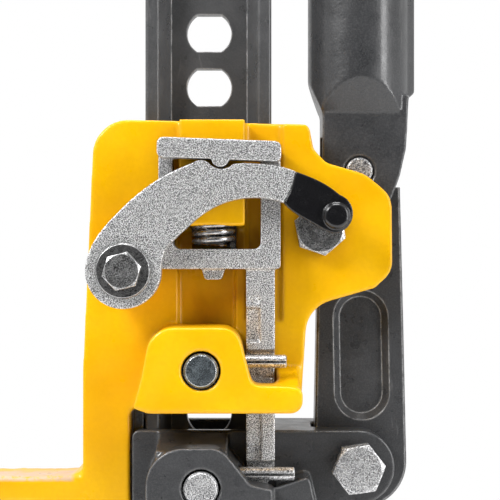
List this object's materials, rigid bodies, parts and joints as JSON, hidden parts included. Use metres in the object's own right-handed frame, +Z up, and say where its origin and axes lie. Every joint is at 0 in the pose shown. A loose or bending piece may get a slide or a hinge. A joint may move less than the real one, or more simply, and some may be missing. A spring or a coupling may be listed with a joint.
{
  "type": "toe rack jack",
  "caption": "Hand rack jack: holed I-bar on a foot plate, a climbing collar with a side lifting toe, a hinged pumping handle, spring pins and a reversing lever.",
  "frame": {"origin": "on the ground under the middle of the bar, at the centre of the foot plate's underside", "axes": "+Z up along the bar; +X from the bar towards the pumping handle, so the toe points to -X; -Y is the face with the climbing pins and the reversing lever"},
  "size_m": [0.206, 0.114, 0.706],
  "materials": {
    "bar_paint": "dark grey satin powder coat",
    "toe_paint": "gloss yellow powder coat",
    "zinc_cast": "bright zinc-plated sand casting",
    "zinc_steel": "bright zinc-plated steel",
    "spring_steel": "dark spring steel",
    "black_rubber": "gloss black moulded rubber"
  },
  "bodies": {
    "frame": {"base_plate": "bar_paint", "standard_bar": "bar_paint", "foot_bolt": "zinc_steel", "foot_nut": "zinc_steel", "top_clamp_front": "bar_paint", "top_clamp_rear": "bar_paint", "clamp_bolts": "zinc_steel", "clamp_nuts": "zinc_steel"},
    "carriage": {"large_runner": "toe_paint", "shear_bolt": "zinc_steel", "shear_nut": "zinc_steel", "lever_bolt": "zinc_steel", "lever_washer": "zinc_steel"},
    "lever": {"reversing_lever": "zinc_cast", "lever_cap": "black_rubber"},
    "yoke": {"reversing_yoke": "zinc_cast", "yoke_spring": "spring_steel"},
    "upper_pin": {"climbing_pin_upper": "zinc_steel", "cross_pin_upper": "zinc_steel", "climbing_pin_spring_upper": "spring_steel"},
    "small_runner_body": {"small_runner": "bar_paint", "pitman_bolt": "zinc_steel", "pitman_nut": "zinc_steel"},
    "lower_pin": {"climbing_pin_lower": "zinc_steel", "cross_pin_lower": "zinc_steel", "climbing_pin_spring_lower": "spring_steel"},
    "handle": {"handle_socket": "bar_paint", "handle_tube": "bar_paint", "handle_grip": "black_rubber", "socket_bolt": "zinc_steel", "socket_nut": "zinc_steel", "crank_pin": "zinc_steel"},
    "pitman_body": {"pitman": "bar_paint"}
  },
  "joints": [
    {"name": "carriage_slide", "type": "slide", "parent": "frame", "child": "carriage", "axis": [0, 0, 1], "range_m": [-0.044, 0.308]},
    {"name": "handle_hinge", "type": "hinge", "parent": "carriage", "child": "handle", "pos_m": [0.0437, 0, 0.2502], "axis": [0, 1, 0], "range_deg": [0, 100.9]},
    {"name": "small_runner_slide", "type": "slide", "parent": "carriage", "child": "small_runner_body", "axis": [0, 0, 1], "range_m": [-0.0441, 0]},
    {"name": "pitman_swing", "type": "hinge", "parent": "small_runner_body", "child": "pitman_body", "pos_m": [0.0588, 0, 0.157], "axis": [0, 1, 0], "range_deg": [0, 1.8]},
    {"name": "lever_hinge", "type": "hinge", "parent": "carriage", "child": "lever", "pos_m": [-0.0312, -0.038, 0.2343], "axis": [0, -1, 0], "range_deg": [-32, 0]},
    {"name": "yoke_slide", "type": "slide", "parent": "carriage", "child": "yoke", "axis": [0, 0, 1], "range_m": [-0.0075, 0], "deforming": ["yoke_spring"]},
    {"name": "upper_pin_slide", "type": "slide", "parent": "carriage", "child": "upper_pin", "axis": [0, 1, 0], "range_m": [0, 0.008], "deforming": ["climbing_pin_spring_upper"]},
    {"name": "lower_pin_slide", "type": "slide", "parent": "small_runner_body", "child": "lower_pin", "axis": [0, 1, 0], "range_m": [0, 0.008], "deforming": ["climbing_pin_spring_lower"]}
  ],
  "couplings": [
    {"joint": "small_runner_slide", "follows": "handle_hinge", "m_per_rad": -0.024985},
    {"joint": "pitman_swing", "follows": "handle_hinge", "ratio": 0.0174},
    {"joint": "yoke_slide", "follows": "lever_hinge", "m_per_rad": 0.0134}
  ]
}
